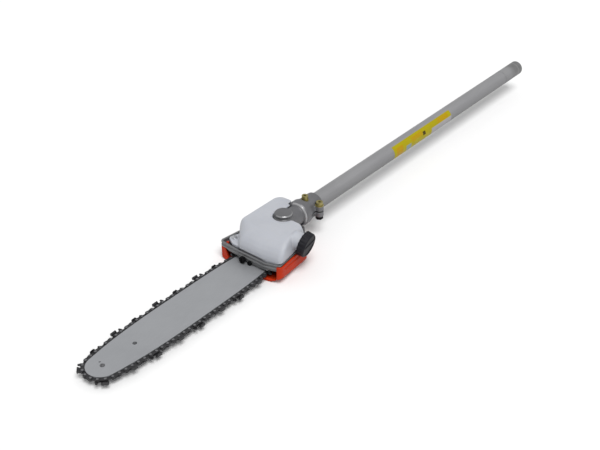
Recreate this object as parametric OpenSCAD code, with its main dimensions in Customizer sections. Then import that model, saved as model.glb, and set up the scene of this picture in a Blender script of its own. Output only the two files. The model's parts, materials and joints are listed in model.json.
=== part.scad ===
// Pole saw head with a 300 mm guide bar on a one-piece aluminium pole.
// The bar lies along -X and the pole along +X. The oil tank is on top and its filler cap faces -Y.
// The pieces are drawn about the middle of the bar's thickness, then moved so that the origin
// is the centre of the pole's coupling end.

/* [Pole and drive shaft] */
// Outside diameter of the pole
pole_d = 26; // [25:0.5:28]
// Wall of the pole
pole_wall = 1.5; // [1.2:0.1:2]
// Coupling end of the pole, measured from the zero of the bar
pole_end_x = 740; // [560:10:1400]
// Height of the pole's axis over the middle of the bar
pole_z = 32.2; // [32:0.1:33]
// Diameter of the drive shaft
shaft_d = 7; // [6:0.5:8]
// Across flats of the square at both ends of the drive shaft
shaft_square = 5; // [4:0.5:5]
// Number of plastic bushes along the pole
bush_count = 4; // [2:1:6]

/* [Guide bar] */
// Centre of the round nose
nose_x = -300; // [-340:5:-280]
// Radius of the round nose
nose_r = 21.5; // [20.5:0.1:21.5]
// Half of the bar's greatest width
bar_half = 30.2; // [29:0.1:30.5]
// Thickness of the whole bar
bar_t = 4.4; // [4.2:0.1:4.6]
// Width of the groove that the chain runs in
groove_w = 1.4; // [1.4:0.05:1.5]
// Rear end of the bar
tail_x = 27; // [22:1:28]
// How far the bar slides back when the chain is slackened
slack_travel = 4; // [2:0.5:4]

/* [Saw chain] */
// Number of drive links, a multiple of four
drive_links = 44; // [44:4:44]
// Height of the rivets over the bar's rails
rivet_rise = 3.3; // [3.2:0.05:3.5]
// Thickness of a drive link
drive_link_t = 1.27; // [1.1:0.01:1.3]
// Thickness of a side link
side_link_t = 1.1; // [1:0.05:1.2]
// Half of the width of the cut
kerf_half = 3.1; // [2.8:0.1:3.2]
// Where the first right-hand cutter stands, along the loop from the nose
first_cutter = 18.5; // [0:0.5:76]

/* [Gears and sprockets] */
// Axis of the chain sprocket, which makes the loop fit the links at a pitch of 9.525
sprocket_x = 49.8; // [49.6:0.05:50]
// Teeth of the chain sprocket
sprocket_teeth = 6; // [6:1:6]
// Teeth of the star in the bar's nose
star_teeth = 8; // [8:1:9]
// Teeth of the bevel pinion
pinion_teeth = 12; // [12:1:12]
// Teeth of the driven bevel gear
gear_teeth = 16; // [16:1:16]
// Module of the bevel teeth at their outer end
gear_module = 1.75; // [1.7:0.05:1.75]

/* [Castings and cover] */
// Top of the base plate's rim
rim_top = 18; // [17.5:0.5:18.5]
// Underside of the sprocket cover
cover_base = -11; // [-12:0.5:-10.5]
// Wall of the sprocket cover
cover_wall = 2.6; // [2.2:0.1:2.8]
// Outside radius of the gear case's neck
neck_r = 14.6; // [14.5:0.1:15]

/* [Oil tank] */
// Top of the oil tank
tank_top = 46; // [45:0.5:47]
// Wall of the oil tank
tank_wall = 2.2; // [1.8:0.1:2.4]
// Outside radius of the filler cap
cap_r = 18.6; // [18:0.1:19]
// Height of the filler cap
cap_h = 11.5; // [11:0.5:13]

/* [Hidden] */
$fn = 64;

pole_r = pole_d / 2;
pole_start = 93;
shaft_r = shaft_d / 2;
fit = 0.05;              // radial clearance of a running fit
gap = 0.4;               // space between neighbouring castings

// Curves in plan

function turn(a) = [cos(a), sin(a)];
function arc(c, r, a0, a1, n) = [for (i = [0:n]) c + r * turn(a0 + (a1 - a0) * i / n)];

// Angle of the outward normal of the line that touches two circles, going anticlockwise
function touch(a, b) =
    atan2(b.y - a.y, b.x - a.x) - acos((a.z - b.z) / norm([b.x - a.x, b.y - a.y]));

// Outline of a belt round circles [x, y, radius], which are listed anticlockwise;
// each circle's arc gets the given number of sides, or as many as its sweep needs
function belt(circles, grow = 0, sides = 0) = [
    for (i = [0:len(circles) - 1])
        let (c = circles[i],
             from = touch(circles[(i + len(circles) - 1) % len(circles)], c),
             to = touch(c, circles[(i + 1) % len(circles)]),
             sweep = (to - from) - 360 * floor((to - from) / 360),
             n = sides > 0 ? sides : max(1, ceil(sweep / 12)))
            each arc([c.x, c.y], c.z + grow, from, from + sweep, n)
];

module slab(circles, z0, z1, grow = 0) {
    translate([0, 0, z0]) linear_extrude(z1 - z0) polygon(belt(circles, grow));
}

module tube(r_out, r_in, h) {
    difference() {
        cylinder(r = r_out, h = h);
        translate([0, 0, -1]) cylinder(r = r_in, h = h + 2);
    }
}

module along_x(x, y = 0, z = 0) {
    translate([x, y, z]) rotate([0, 90, 0]) children();
}

module hexagon(flats, h) {
    cylinder(r = flats / 2 / cos(30), h = h, $fn = 6);
}

module box(a, b) {
    translate(a) cube(b - a);
}

// Moves a piece from the bar's zero to the origin at the pole's coupling end
module place() {
    translate([-pole_end_x, 0, -pole_z]) children();
}

// Outline of the bar

widest_x = -125;
nose_drop = 8.6;         // how much narrower the bar is at the nose centre
tail_drop = 6.1;         // how much narrower it is at x = 0
flank_power = 3.45;
nose_tilt = 9.8;         // angle at which the flank leaves the nose arc
chain_off_x = 0;         // where the chain leaves the bar for the sprocket
rail_end = [chain_off_x, bar_half - tail_drop];

function flank(x) = bar_half - (x < widest_x
    ? nose_drop * pow((x - widest_x) / (nose_x - widest_x), flank_power)
    : tail_drop * pow((x - widest_x) / (chain_off_x - widest_x), flank_power));

flank_x = [for (i = [1:24]) nose_x + (chain_off_x - nose_x) * i / 24];

// The half of an outline at +Y, from the nose to where the chain leaves the bar
function half_outline(grow) = concat(
    arc([nose_x, 0], nose_r + grow, 180, 90 + nose_tilt, 8),
    [for (x = flank_x) [x, flank(x) + grow]]);

function mirrored(points) = [for (i = [len(points) - 1:-1:0]) [points[i].x, -points[i].y]];

function bar_outline(inset) = let (half = concat(half_outline(-inset),
    [[tail_x - 8, 21.3 - inset], [tail_x - 2, 18 - inset], [tail_x - inset / 2, 13 - inset / 2]]))
    concat(half, mirrored(half));

// Path of the rivets: round the nose, along the far rail, round the sprocket and back

pitch = 9.525;
sprocket_r = pitch / 2 / sin(90 / sprocket_teeth);
rim_r = sprocket_r * cos(90 / sprocket_teeth) - 3.1;
leave = [chain_off_x, rail_end.y + rivet_rise];
to_axis = [sprocket_x, 0] - leave;
wrap_from = atan2(-to_axis.y, -to_axis.x) - acos(sprocket_r / norm(to_axis));
half_path = concat(half_outline(rivet_rise),
    arc([sprocket_x, 0], sprocket_r, wrap_from, 0, 12));
path = concat(half_path, [for (p = mirrored(half_path)) p]);
stations = [for (i = 0, s = 0; i <= len(path);
    s = s + norm(path[(i + 1) % len(path)] - path[i % len(path)]), i = i + 1) s];
loop = stations[len(path)];
path_x = [for (i = [0:len(path)]) [stations[i], path[i % len(path)].x]];
path_y = [for (i = [0:len(path)]) [stations[i], path[i % len(path)].y]];
rivets = 2 * drive_links;
phase = first_cutter - 1.5 * loop / rivets;

function rivet(k) = let (s = phase + k * loop / rivets, m = s - floor(s / loop) * loop)
    [lookup(m, path_x), lookup(m, path_y)];

// Outlines of the castings, as circles [x, y, radius]

rear_corner = [57, 1, 27.2];
cover_ring = [[-18, -48.5, 6], [40, -36, 11.5], rear_corner, [66, 30, 15], [-19, 51, 6], [-16, 20, 11.5],
    [-17, -28, 11]];
side_step = cover_wall + gap;      // the cover's right wall stands outside the base plate
plate_ring = [[-18, -48.5, 6 - side_step], [40, -36, 11.5 - side_step], rear_corner, [66, 30, 15],
    [-19, 51, 6], [-16, 20, 11.5], [-17, -28, 11]];
well_ring = [[-15.3, -45.8, 0.5], [40, -36, 3.1], [57, 1, 21.8], [66, 30, 9.6], [-19, 51, 0.6],
    [-16, 20, 6.1], [-17, -28, 5.6]];
rim_wall = 3;
rim_base = 10;
side_top = 16.5;         // top of the cover's right wall
floor_z = [5, 8];        // the base plate's floor

// Heights along the output shaft

seal_z = [9.9, 11.3];
lower_bearing_z = 11.4;
gear_back = 17.5;
apex_gap = gear_module * pinion_teeth / 2;
gear_plane = pole_z - apex_gap;
upper_bearing_z = 40;
case_top = 51.6;
barrel_r = 18.6;
dome_r = 13.4;
dome_h = 3.4;
dome_edge = 1.6;
foot_at = 21;            // feet of the gear case, out from the output shaft
foot_r = 4.6;
foot_angles = [0, 90, 180, 262];
flare_r = neck_r + 5;
clamp_r = neck_r + 2.4;

// Places along the input shaft

pinion_reach = gear_module * gear_teeth / 2;
pinion_x = sprocket_x + pinion_reach;
bearing_x = [68.5, 77.5];
circlip_x = 85.8;
clamp_x = [79.5, 122];
lock_x = 99;             // locating screw
lock_z = pole_z + 15.8;  // seat of its head
ear_x = 110;             // clamp bolt
ear_y = -18.5;

// Ball bearings as [bore radius, outside radius, width]

pinion_bearing = [5, 13, 8];
lower_bearing = [5, 11, 6];
upper_bearing = [3, 7.5, 5];

function ball_r(b) = (b[1] - b[0]) * 0.27;
function ball_path(b) = (b[1] + b[0]) / 2;

module outer_ring(b) {
    rotate_extrude() difference() {
        translate([ball_path(b) + ball_r(b) * 0.5, 0]) square([b[1] - ball_path(b) - ball_r(b) * 0.5, b[2]]);
        translate([ball_path(b), b[2] / 2]) circle(r = ball_r(b) + 0.03);
    }
}

module inner_ring(b) {
    rotate_extrude() difference() {
        translate([b[0], 0]) square([ball_path(b) - ball_r(b) * 0.5 - b[0], b[2]]);
        translate([ball_path(b), b[2] / 2]) circle(r = ball_r(b) + 0.03);
    }
}

module ring_of_balls(b, n) {
    for (i = [0:n - 1]) rotate(i * 360 / n) translate([ball_path(b), 0, b[2] / 2]) sphere(r = ball_r(b));
}

module at_output(z = 0) {
    translate([sprocket_x, 0, z]) children();
}

// Gear case: an elbow with a split clamp for the pole

module case_outside() {
    at_output(floor_z[0] + 0.2) cylinder(r = 14.5, h = 4);
    at_output(floor_z[1]) cylinder(r = barrel_r, h = 21);
    at_output(floor_z[1] + 21) cylinder(r1 = barrel_r, r2 = neck_r + 0.3, h = 5);
    at_output(floor_z[1] + 26) cylinder(r = neck_r + 0.3, h = 9);
    at_output(floor_z[1] + 35) cylinder(r1 = neck_r + 0.3, r2 = dome_r - 2.4, h = 2.4);
    at_output(floor_z[1] + 37) cylinder(r = dome_r - 2.4, h = case_top - floor_z[1] - 38);
    at_output(case_top - dome_h) cylinder(r = dome_r, h = dome_h - dome_edge);
    at_output(case_top - dome_edge) cylinder(r1 = dome_r, r2 = dome_r - dome_edge, h = dome_edge);
    for (a = foot_angles) at_output(floor_z[1]) rotate(a) {
        translate([foot_at, 0, 0]) cylinder(r = foot_r, h = 5);
        translate([12, -foot_r, 0]) cube([foot_at - 12, 2 * foot_r, 5]);
    }
    along_x(sprocket_x, 0, pole_z) cylinder(r = neck_r, h = clamp_x[0] - sprocket_x + 1);
    along_x(clamp_x[0], 0, pole_z) cylinder(r1 = clamp_r, r2 = flare_r, h = 3.4);
    along_x(clamp_x[0] + 3.4, 0, pole_z) cylinder(r = flare_r, h = 9);
    along_x(clamp_x[0] + 12.4, 0, pole_z) cylinder(r1 = flare_r, r2 = clamp_r, h = 8);
    along_x(clamp_x[0] + 20.4, 0, pole_z) cylinder(r = clamp_r, h = clamp_x[1] - clamp_x[0] - 20.4);
    translate([ear_x, ear_y, pole_z - 8.5]) cylinder(r = 6.6, h = 17);
    box([ear_x - 6.6, ear_y, pole_z - 8.5], [ear_x + 6.6, 0, pole_z + 8.5]);
}

module gear_case() {
    color([0.36, 0.37, 0.39]) place() difference() {
        case_outside();
        at_output(4) cylinder(r = 9, h = seal_z[1] - 4 + 0.1);
        at_output(lower_bearing_z) cylinder(r = lower_bearing[1], h = 7);
        at_output(lower_bearing_z + 6.6) cylinder(r = 16.9, h = 28.5 - lower_bearing_z - 6.6);
        at_output(28.4) cylinder(r = 12.8, h = upper_bearing_z - 28.4 - 0.5);
        at_output(upper_bearing_z - 1) cylinder(r = upper_bearing[1], h = upper_bearing[2] + 1);
        along_x(sprocket_x + 8.6, 0, pole_z) cylinder(r = 12.6, h = bearing_x[0] - sprocket_x - 8.5);
        along_x(bearing_x[0], 0, pole_z) cylinder(r = pinion_bearing[1], h = circlip_x + 2 - bearing_x[0]);
        along_x(circlip_x, 0, pole_z) cylinder(r = pinion_bearing[1] + 0.9, h = 1.3);
        along_x(circlip_x, 0, pole_z) cylinder(r = 10, h = pole_start - circlip_x + 1);
        along_x(pole_start - 0.4, 0, pole_z) cylinder(r = pole_r + fit, h = 40);
        box([pole_start - 2, ear_y - 8, pole_z - 1.2], [clamp_x[1] + 1, 0, pole_z + 1.2]);
        translate([lock_x, 0, pole_z]) cylinder(r = 3 + fit, h = 30);
        translate([ear_x, ear_y, pole_z - 12]) cylinder(r = 3 + fit, h = 24);
        for (a = foot_angles) at_output(0) rotate(a) translate([foot_at, 0, 0]) {
            cylinder(r = 2.55, h = 20);
            translate([0, 0, floor_z[1] + 5]) cylinder(r = 4, h = 4.6);
        }
        translate([lock_x, 0, lock_z]) cylinder(r = 6.6, h = 10);
        for (z = [pole_z - 18.5, pole_z + 8.5]) translate([ear_x, ear_y, z]) cylinder(r = 6.7, h = 10);
        pump_pocket();
    }
}

// Base plate: rim with a groove round it, pad for the bar, bosses and the tensioner's channel

tension_y = 9;
tension_z = 8.6;
block_x = [-2, 6];
channel_x = [block_x[0] - 1, block_x[1] + slack_travel + 2];
stud_x = [-10, 14];
stud_seat = 10;
flow_y = -2;
flow_z = 5.7;
tank_screw_at = [[-8.5, 42.5], [57, -24.5]];
tank_hole_z = 12.4;
stud_head_r = 4.7;
pad_z = bar_t / 2 + 0.1;

module base_plate() {
    color([0.55, 0.56, 0.58]) place() difference() {
        union() {
            slab(plate_ring, floor_z[0], rim_base + 2, -side_step);
            slab(plate_ring, rim_base, rim_top);
            box([-26.5, -33, floor_z[0]], [-10, 20, rim_base + 1]);
            box([-24.5, -17, pad_z], [tail_x + 1, 17, floor_z[1]]);
        }
        difference() {
            union() {
                slab(well_ring, floor_z[1], rim_top);
                slab(plate_ring, rim_base + 2, rim_top + 1, -rim_wall);
            }
            box([channel_x[0] - 20, tension_y - 6, 0], [channel_x[1] + 3, tension_y + 6, 13]);
            box([-30, flow_y - 5, 0], [-13, flow_y + 5, 10]);
            for (p = tank_screw_at) translate([p.x, p.y, 0]) cylinder(r = 4, h = rim_top);
            for (x = stud_x) translate([x, 0, 0]) cylinder(r = 7, h = stud_seat);
        }
        rim_groove();
        at_output(0) cylinder(r = 14.6, h = 20);
        pump_pocket();
        box([channel_x[0], tension_y - 4.2, 0], [channel_x[1], tension_y + 4.2, 12]);
        along_x(-40, tension_y, tension_z) cylinder(r = 2.5 + fit, h = 60);
        along_x(-40, flow_y, flow_z) cylinder(r = 2 + fit, h = 25);
        for (x = stud_x) translate([x, 0, 0]) cylinder(r = 4, h = 20);
        for (a = foot_angles) at_output(0) rotate(a) translate([foot_at, 0, 0]) cylinder(r = 2.05, h = 12);
        for (p = tank_screw_at) translate([p.x, p.y, tank_hole_z]) cylinder(r = 2, h = 10);
        along_x(sprocket_x, 0, pole_z) cylinder(r = neck_r + gap, h = 60);
        along_x(clamp_x[0] - gap, 0, pole_z) cylinder(r = flare_r + gap, h = 20);
        for (x = stud_x) translate([x, 0, stud_seat]) cylinder(r = stud_head_r + 0.2, h = 10);
        translate([peg_at.x, peg_at.y, 0]) cylinder(r = 2.6, h = 20);
    }
}

module rim_groove() {
    difference() {
        slab(plate_ring, rim_base + 2.6, rim_top - 2.6, 2);
        slab(plate_ring, rim_base, rim_top, -1.5);
    }
}

// Oil pump: a worm on the output shaft turns a plunger that lies along Y

worm_r = 5.9;
worm_wave = 0.5;
worm_lead = 2.5;
worm_z = [2.9, 9.3];
pump_teeth = 8;
pump_wave = 0.4;
pump_pitch_r = pump_teeth * worm_lead / 2 / PI;
pump_x = sprocket_x - worm_r - pump_pitch_r - 0.3;
pump_z = 6.2;
pump_y = [4, 22];
pump_body_r = 2.9;
plunger_r = 1.5;
pump_turn = 180 / pump_teeth;    // a tooth space of the plunger faces the worm's crest

module pump_pocket() {
    box([pump_x - 4.2, -4.2, 0], [sprocket_x - 2, pump_y[0] + 0.5, 9.9]);
    translate([pump_x, pump_y[0], pump_z]) rotate([-90, 0, 0])
        cylinder(r = pump_body_r + 0.2, h = pump_y[1] - pump_y[0] + 1);
    box([pump_x - pump_body_r - 0.2, pump_y[0], 0], [pump_x + pump_body_r + 0.2, pump_y[1] + 1, pump_z]);
}

module pump_body() {
    color([0.75, 0.76, 0.78]) place() translate([pump_x, pump_y[0] + 0.5, pump_z]) rotate([-90, 0, 0])
        difference() {
            cylinder(r = pump_body_r, h = pump_y[1] - pump_y[0] - 0.5);
            translate([0, 0, -1]) cylinder(r = plunger_r + fit, h = pump_y[1] - pump_y[0] - 1.5);
            translate([0, 0, 12]) rotate([90, 0, 0]) cylinder(r = 0.8, h = 6);
        }
}

module pump_plunger() {
    color([0.7, 0.7, 0.72]) place() translate([pump_x, 0, pump_z]) rotate([-90, 0, 0]) {
        translate([0, 0, -1.5]) linear_extrude(3)
            polygon([for (a = [0:7.5:352.5])
                (pump_pitch_r + pump_wave * cos(pump_teeth * (a - pump_turn))) * turn(a)]);
        translate([0, 0, -3.5]) cylinder(r = 1.4, h = 2.2);
        translate([0, 0, 1.4]) cylinder(r = plunger_r, h = pump_y[1] - 4);
    }
}

module pump_worm() {
    crest = 180 + 360 * (pump_z - worm_z[0]) / worm_lead;
    color([0.2, 0.2, 0.22]) place() at_output(worm_z[0]) rotate(crest) difference() {
        linear_extrude(worm_z[1] - worm_z[0], twist = 360 * (worm_z[1] - worm_z[0]) / worm_lead, slices = 26)
            translate([worm_wave, 0]) circle(r = worm_r, $fn = 24);
        translate([0, 0, -1]) cylinder(r = 5, h = 10);
    }
}

// Bevel gears and shafts

module bevel_teeth(teeth, mate, turned) {
    reach = gear_module * mate / 2;
    r = gear_module * teeth / 2;
    slope = norm([r, reach]);
    pitch_angle = atan(r / reach);
    tip = reach * tan(pitch_angle + atan(0.8 * gear_module / slope));
    root = reach * tan(pitch_angle - atan(1.05 * gear_module / slope));
    face = reach * 6 / slope;
    half = gear_module * PI / 4 - 0.17;
    function flank_angle(radius, h) = (half - h * tan(20)) / radius * 180 / PI;
    rotate(turned) linear_extrude(face, scale = 1 - face / reach) polygon([for (i = [0:teeth - 1])
        let (a = i * 360 / teeth)
            each [root * turn(a - flank_angle(root, -1.05 * gear_module)),
                r * turn(a - flank_angle(r, 0)),
                tip * turn(a - flank_angle(tip, 0.8 * gear_module)),
                tip * turn(a + flank_angle(tip, 0.8 * gear_module)),
                r * turn(a + flank_angle(r, 0)),
                root * turn(a + flank_angle(root, -1.05 * gear_module))]]);
}

module pinion_gear() {
    color([0.5, 0.5, 0.52]) place() difference() {
        union() {
            along_x(pinion_x, 0, pole_z) rotate([180, 0, 0]) bevel_teeth(pinion_teeth, gear_teeth, 0);
            along_x(pinion_x - 0.1, 0, pole_z) cylinder(r = 7.6, h = bearing_x[0] - pinion_x - 0.5);
            along_x(pinion_x, 0, pole_z) cylinder(r = 6.3, h = bearing_x[0] - pinion_x);
            along_x(pinion_x, 0, pole_z) cylinder(r = pinion_bearing[0], h = circlip_x + 1.5 - pinion_x);
        }
        along_x(73, 0, pole_z) translate([-shaft_square / 2 - fit, -shaft_square / 2 - fit, 0])
            cube([shaft_square + 2 * fit, shaft_square + 2 * fit, 30]);
    }
}

module drive_shaft() {
    color([0.62, 0.63, 0.65]) place() along_x(74, 0, pole_z) {
        translate([0, 0, 16]) cylinder(r = shaft_r, h = pole_end_x - 74 - 34);
        translate([-shaft_square / 2, -shaft_square / 2, 0])
            cube([shaft_square, shaft_square, pole_end_x - 74 - 4]);
    }
}

module pinion_inner_rings() {
    color([0.8, 0.81, 0.83]) place()
        for (x = bearing_x) along_x(x, 0, pole_z) inner_ring(pinion_bearing);
}

module output_inner_rings() {
    color([0.8, 0.81, 0.83]) place() {
        at_output(lower_bearing_z) inner_ring(lower_bearing);
        at_output(upper_bearing_z) inner_ring(upper_bearing);
    }
}

module bearing_outer_rings() {
    color([0.7, 0.71, 0.73]) place() {
        for (x = bearing_x) along_x(x, 0, pole_z) outer_ring(pinion_bearing);
        at_output(lower_bearing_z) outer_ring(lower_bearing);
        at_output(upper_bearing_z) outer_ring(upper_bearing);
    }
}

module bearing_balls() {
    color([0.85, 0.86, 0.88]) place() {
        for (x = bearing_x) along_x(x, 0, pole_z) ring_of_balls(pinion_bearing, 9);
        at_output(lower_bearing_z) ring_of_balls(lower_bearing, 10);
        at_output(upper_bearing_z) ring_of_balls(upper_bearing, 8);
    }
}

module pinion_circlip() {
    color([0.25, 0.25, 0.27]) place() along_x(circlip_x + 0.1, 0, pole_z) difference() {
        cylinder(r = pinion_bearing[1] + 0.7, h = 1.1);
        translate([0, 0, -1]) cylinder(r = pinion_bearing[1] - 2, h = 4);
        translate([-3, 8, -1]) cube([6, 10, 4]);
    }
}

module output_gear() {
    color([0.5, 0.5, 0.52]) place() difference() {
        union() {
            at_output(gear_plane) bevel_teeth(gear_teeth, pinion_teeth, 180 / gear_teeth);
            at_output(gear_back + 0.9) cylinder(r = 12, h = gear_plane - gear_back - 2.7);
            at_output(gear_plane - 1.8) cylinder(r1 = 12, r2 = 10.2, h = 1.9);
            at_output(gear_back) cylinder(r = 6.5, h = 2);
        }
        at_output(0) cylinder(r = 5, h = 60);
    }
}

module output_shaft() {
    color([0.66, 0.67, 0.69]) place() {
        at_output(-7.6) cylinder(r = 4, h = 6);
        at_output(-3) cylinder(r = 5, h = 31);
        at_output(27.9) cylinder(r = 3, h = upper_bearing_z + upper_bearing[2] - 28);
    }
}

module shaft_seal() {
    color([0.12, 0.12, 0.13]) place() at_output(seal_z[0]) tube(9, 5 + fit, seal_z[1] - seal_z[0]);
}

// Rim sprocket: the webs between its discs are short, so that it turns clear of the chain

module chain_sprocket() {
    color([0.45, 0.46, 0.48]) place() at_output(0) difference() {
        union() {
            for (z = [-2.4, 0.9]) translate([0, 0, z]) cylinder(r = rim_r, h = 1.5);
            translate([0, 0, -3]) cylinder(r = 7.5, h = 5.6);
            for (i = [0:sprocket_teeth - 1]) rotate(i * 360 / sprocket_teeth)
                translate([6, -1.8, -1]) cube([4.3, 3.6, 2]);
        }
        translate([0, 0, -5]) cylinder(r = 5, h = 10);
        for (i = [0:sprocket_teeth - 1]) rotate((i + 0.5) * 360 / sprocket_teeth)
            translate([10.6, 0, -5]) cylinder(r = 1.7, h = 10);
    }
}

module sprocket_washer() {
    color([0.7, 0.71, 0.73]) place() at_output(-4.3) tube(8.5, 4, 1.2);
}

module sprocket_clip() {
    color([0.25, 0.25, 0.27]) place() at_output(-5.5) difference() {
        cylinder(r = 6.5, h = 1.1);
        translate([0, 0, -1]) cylinder(r = 4, h = 4);
        translate([0, -2.2, -1]) cube([10, 4.4, 4]);
    }
}

// Sprocket cover: a tray under the base plate, chamfered along both lower edges

nut_pocket_z = -4.6;
peg_at = [-15, 50.4];     // peg that finds a hole in the corner of the base plate

module cover_chamfers(inset) {
    intersection() {
        translate([-60, -37, cover_base + inset]) rotate([-28, 0, 0])
            translate([0, -60, 0]) cube([180, 170, 90]);
        translate([-60, 47, cover_base + inset]) rotate([21, 0, 0])
            translate([0, -110, 0]) cube([180, 170, 90]);
    }
}

module sprocket_cover() {
    color([0.93, 0.27, 0.08]) place() {
        translate([peg_at.x, peg_at.y, cover_base + cover_wall]) cylinder(r = 2.2, h = 22);
        cover_tray();
    }
}

module cover_tray() {
    difference() {
        union() {
            difference() {
                intersection() {
                    slab(cover_ring, cover_base, side_top);
                    cover_chamfers(0);
                }
                intersection() {
                    slab(cover_ring, cover_base + cover_wall, side_top + 1, -cover_wall);
                    cover_chamfers(cover_wall);
                }
            }
            for (x = stud_x) translate([x, 0, cover_base + 1]) cylinder(r = 12, h = -cover_base - 1 - pad_z);
            box([stud_x[0], -7, cover_base + 1], [stud_x[1], 7, -pad_z]);
        }
        slab(plate_ring, rim_base - gap, side_top + 1, gap);
        box([-40, -47.5, -6], [-17.5, 50, side_top + 1]);
        for (x = stud_x) translate([x, 0, cover_base - 1]) {
            cylinder(r = 4.2, h = 20);
            cylinder(r = 9.6, h = nut_pocket_z - cover_base + 1);
        }
        side_recess();
        for (y = [-9:9:27]) box([60, y - 1.6, cover_base - 1], [76, y + 1.6, cover_base + 6]);
    }
}

// Long recess in the outside of the cover's right wall
module side_recess() {
    translate([-12, 0, 0]) difference() {
        translate([0, -56, 8.4]) cube([50, 12, 3.8]);
        translate([12, 0, 0]) slab(cover_ring, 8, 13, -1.2);
    }
}

module cover_nuts() {
    color([0.72, 0.73, 0.75]) place() for (x = stud_x) translate([x, 0, 0]) difference() {
        union() {
            translate([0, 0, nut_pocket_z - 1.4]) cylinder(r = 9, h = 1.4);
            translate([0, 0, nut_pocket_z - 5.8]) hexagon(13, 5);
        }
        translate([0, 0, cover_base]) cylinder(r = 4, h = 10);
    }
}

module bar_studs() {
    color([0.6, 0.61, 0.63]) place() for (x = stud_x) translate([x, 0, 0]) {
        translate([0, 0, cover_base + 0.6]) cylinder(r = 4 - fit, h = stud_seat - cover_base);
        translate([0, 0, stud_seat]) cylinder(r = stud_head_r, h = 1.6);
    }
}

module case_screws() {
    color([0.3, 0.3, 0.32]) place() for (a = foot_angles) at_output(0) rotate(a) translate([foot_at, 0, 0])
        difference() {
            union() {
                translate([0, 0, floor_z[0] + 0.2]) cylinder(r = 2, h = 8);
                translate([0, 0, floor_z[1] + 5]) cylinder(r = 3.8, h = 3);
            }
            translate([0, 0, floor_z[1] + 6]) hexagon(3, 4);
        }
}

module tank_screws() {
    color([0.78, 0.79, 0.8]) place() for (p = tank_screw_at) translate([p.x, p.y, flange_z[1]]) difference() {
        union() {
            cylinder(r = 4.6, h = 0.8);
            translate([0, 0, 0.8]) cylinder(r1 = 3.6, r2 = 2.8, h = 2.2);
            translate([0, 0, tank_hole_z + 0.5 - flange_z[1]]) cylinder(r = 1.95, h = 8);
        }
        translate([0, 0, 2]) hexagon(2.6, 3);
    }
}

// Oil tank, drawn as rings at rising heights; the front leans back towards the top

tank_base = 14;
tank_foot = [[-14.5, -42.9, 4.5], [38, -33, 6.5], [56.5, 1, 23.2], [60, 28, 10], [-9.5, 45.5, 5],
    [-14.5, 35, 6], [-12, 22, 9.2], [-13.5, -27, 9]];
flange_z = [18.3, 20.3];
neck_at = [26.9, -53.1, 33.3];    // middle of the cap's back
neck_turn = 9;           // the filler faces forward of the saw's right and a little down
neck_tilt = 11;
neck_len = 5.4;          // from the cap's back to the neck's lip
tank_levels = [[0, -23, 0], [0.29, -22, 0], [0.5, -19.4, 0.3], [0.7, -14.6, 0.9], [0.85, -8.6, 1.9],
    [0.95, -2, 3.2], [1, 5, 4.8]];

function tank_circles(front, inset) = [[front + 9.5, -45 + 2 * inset, 6], [41.5 - inset, -35 + inset, 7.5],
    [85 - inset, 20, 8], [81 - inset, 33 - inset, 12], [8 + inset, 39.5 - inset, 6],
    [front + 6.5, 19 - inset, 7], [front + 8, -20, 8.5]];

function tank_rings(shrink) = [for (level = tank_levels)
    let (z = flange_z[0] + level[0] * (tank_top - flange_z[0]) - shrink)
        [for (p = belt(tank_circles(level[1], level[2]), -shrink, 4)) [p.x, p.y, z]]];

// Solid between rings that all have the same number of points
module loft(rings) {
    n = len(rings[0]);
    last = len(rings) - 1;
    polyhedron([for (ring = rings) each ring], concat(
        [[for (i = [0:n - 1]) i], [for (i = [n - 1:-1:0]) last * n + i]],
        [for (k = [0:last - 1], i = [0:n - 1]) let (j = (i + 1) % n) each
            [[k * n + i, (k + 1) * n + i, k * n + j], [k * n + j, (k + 1) * n + i, (k + 1) * n + j]]]));
}

module case_room(more) {
    at_output(tank_base - 1) cylinder(r = 27.6 + more, h = 4.4 + more);
    at_output(tank_base - 1) cylinder(r = barrel_r + 0.8 + more, h = floor_z[1] + 26.6 - tank_base + more);
    at_output(tank_base - 1) cylinder(r = neck_r + 1 + more, h = 50);
    along_x(sprocket_x, 0, pole_z) cylinder(r = neck_r + 0.8 + more, h = 70);
    box([sprocket_x, -neck_r - 0.8 - more, tank_base - 1], [130, neck_r + 0.8 + more, pole_z]);
    box([sprocket_x, -neck_r + 4, pole_z], [130, neck_r - 4, 60]);
    along_x(clamp_x[0] - 0.8 - more, 0, pole_z) cylinder(r = flare_r + 0.8 + more, h = 40);
    translate([-more, 4 - neck_r, flange_z[1] - more]) rotate([90, 0, 0]) linear_extrude(40)
        polygon([[90, 0], [53, 0], [53, 15], [51.5, 21], [47, 26], [90, 30]]);
}

module oil_tank() {
    color([0.86, 0.89, 0.93, 0.9]) place() difference() {
        union() {
            loft(tank_rings(0));
            slab(tank_foot, tank_base, flange_z[0] + 0.1);
            slab([[-9.5, 45.5, 5], [-14.5, 35, 6], [-13.5, 20, 7.3], [8, 36, 7]], flange_z[0], flange_z[1]);
            slab([[42, -34, 6], [56, -25, 6], [45, -15, 6]], flange_z[0], flange_z[1]);
            on_neck(-15) cylinder(r = 13, h = 15 + neck_len);
        }
        difference() {
            union() {
                loft(tank_rings(tank_wall));
                slab(tank_foot, tank_base + tank_wall, flange_z[0] - 0.1, -tank_wall);
            }
            case_room(tank_wall);
            for (p = tank_screw_at) translate([p.x, p.y, 0]) cylinder(r = 7.5, h = 26);
            box([45, -60, 0], [90, -15, 23]);
        }
        case_room(0);
        on_neck(-11) cylinder(r = 10, h = 32);
        for (p = tank_screw_at) translate([p.x, p.y, 0]) {
            cylinder(r = 2.4, h = 30);
            cylinder(r = 4.9, h = rim_top + 0.2);
            translate([0, 0, flange_z[1]]) cylinder(r = 4.9, h = 5.4);
        }
        along_x(89, 31, 34) cylinder(r = 3 + fit, h = 10);
        translate([20, 32, 10]) cylinder(r = 3, h = 8);
    }
}

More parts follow.
